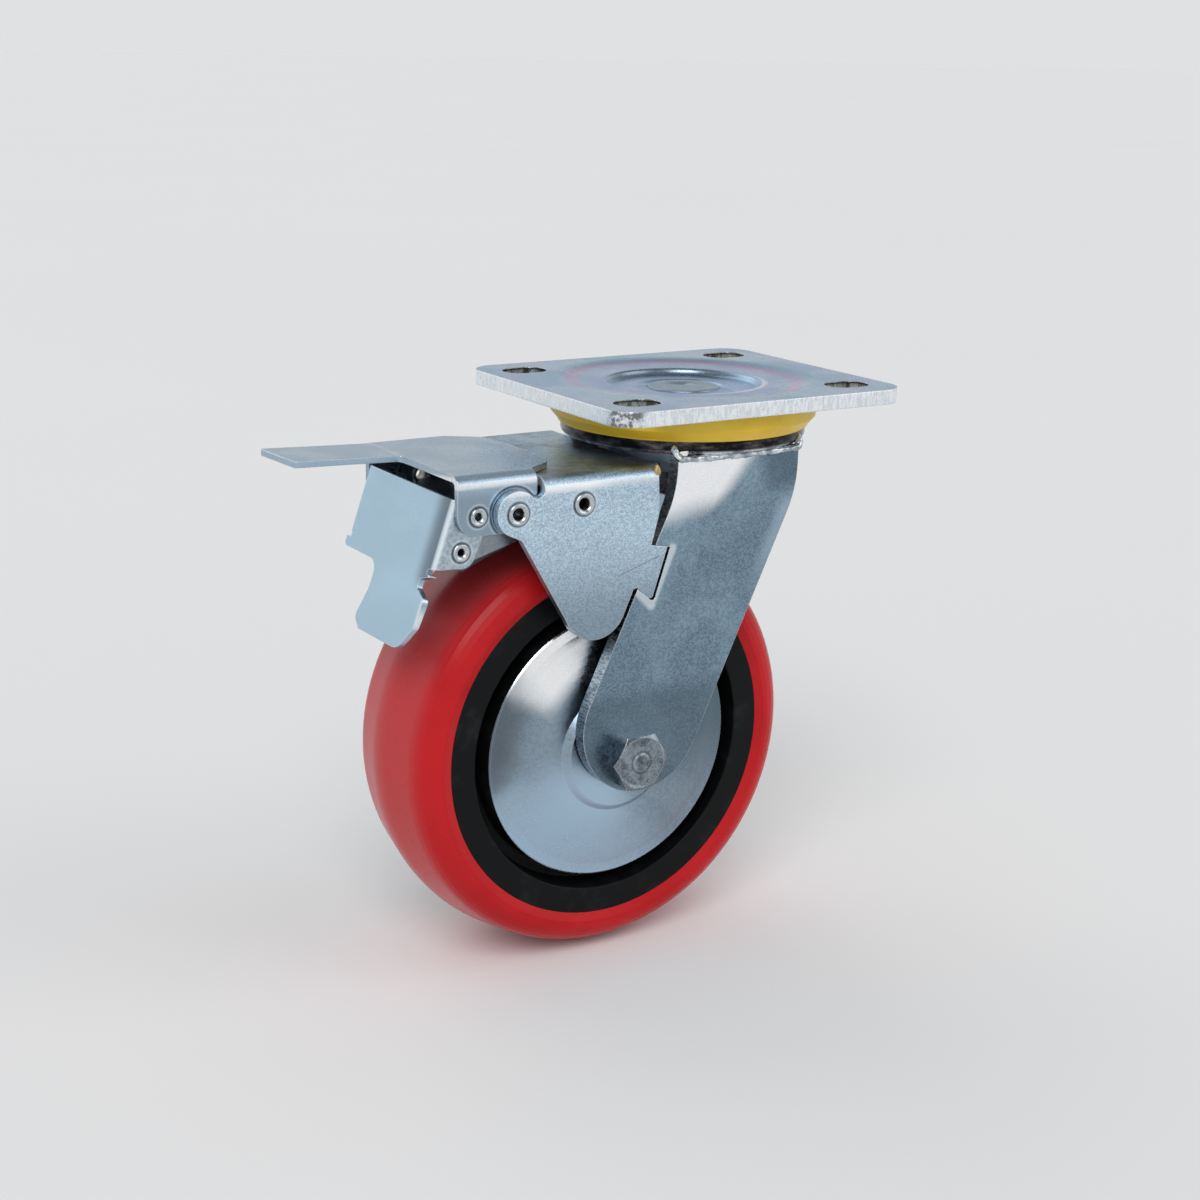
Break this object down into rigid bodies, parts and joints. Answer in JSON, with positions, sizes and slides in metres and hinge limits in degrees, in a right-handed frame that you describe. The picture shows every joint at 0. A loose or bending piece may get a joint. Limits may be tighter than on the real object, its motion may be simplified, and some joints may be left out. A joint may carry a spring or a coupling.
{
  "type": "swivel castor",
  "caption": "Swivel castor with a slotted top plate, a red wheel in a steel fork, and a pedal that locks the wheel and the swivel together.",
  "frame": {"origin": "centre of the top plate's mounting face, on the swivel axis", "axes": "+Z out of the mounting face, +X along the direction of travel, so the wheel and the pedal trail towards -X"},
  "size_m": [0.2069, 0.102, 0.1935],
  "materials": {
    "zinc_plate": "bright zinc plate with a faint rainbow tint",
    "zinc_leg": "mottled zinc",
    "zinc_housing": "mottled zinc",
    "zinc_pedal": "smooth bright zinc",
    "zinc_bolt": "zinc, forged faces",
    "zinc_pin": "zinc, turned",
    "rivet_steel": "zinc, pressed",
    "crown_steel": "bright reflecting zinc",
    "dark_steel": "darker zinc",
    "spring_steel": "drawn wire",
    "ball_steel": "polished",
    "cap_steel": "pressed bright sheet",
    "core": "satin black",
    "tread": "smooth glossy red",
    "shoe": "plain",
    "seal": "smooth yellow"
  },
  "bodies": {
    "base": {"top_plate": "zinc_plate", "king_pin": "zinc_pin", "king_nut": "zinc_bolt", "upper_balls": "ball_steel", "lower_balls": "ball_steel", "lower_race": "zinc_pin", "lock_ring": "dark_steel"},
    "fork": {"dust_seal": "seal", "fork_crown": "crown_steel", "fork_leg_right": "zinc_leg", "fork_leg_left": "zinc_leg", "brake_housing": "zinc_housing", "axle_bolt": "zinc_bolt", "axle_nut": "zinc_bolt", "axle_sleeve": "zinc_pin", "hub_spacer_right": "zinc_pin", "hub_spacer_left": "zinc_pin", "bearing_inner_right": "ball_steel", "bearing_inner_left": "ball_steel", "pedal_rivets": "rivet_steel", "lever_pin": "rivet_steel"},
    "wheel": {"wheel_core": "core", "tyre": "tread", "dust_cap_right": "cap_steel", "dust_cap_left": "cap_steel", "bearing_outer_right": "ball_steel", "bearing_outer_left": "ball_steel", "bearing_balls_right": "ball_steel", "bearing_balls_left": "ball_steel"},
    "pedal": {"brake_pedal": "zinc_pedal", "release_rivets": "rivet_steel"},
    "release": {"release_plate": "zinc_pedal", "link_pin": "rivet_steel"},
    "lever": {"brake_lever": "dark_steel", "brake_shoe": "shoe", "return_spring": "spring_steel"}
  },
  "joints": [
    {"name": "swivel", "type": "hinge", "parent": "base", "child": "fork", "pos_m": [0, 0, -0.02], "axis": [0, 0, 1], "continuous": true},
    {"name": "wheel_spin", "type": "hinge", "parent": "fork", "child": "wheel", "pos_m": [-0.0414, 0, -0.1185], "axis": [0, 1, 0], "continuous": true},
    {"name": "pedal_press", "type": "hinge", "parent": "fork", "child": "pedal", "pos_m": [-0.0846, 0, -0.0317], "axis": [0, -1, 0], "range_deg": [0, 34]},
    {"name": "release_turn", "type": "hinge", "parent": "pedal", "child": "release", "pos_m": [-0.0969, 0, -0.0319], "axis": [0, -1, 0], "range_deg": [-30, 0]},
    {"name": "lever_turn", "type": "hinge", "parent": "fork", "child": "lever", "pos_m": [-0.0608, 0, -0.0308], "axis": [0, -1, 0], "range_deg": [0, 11]}
  ],
  "couplings": [
    {"joint": "release_turn", "follows": "pedal_press", "ratio": -0.8561},
    {"joint": "lever_turn", "follows": "pedal_press", "ratio": 0.31}
  ]
}
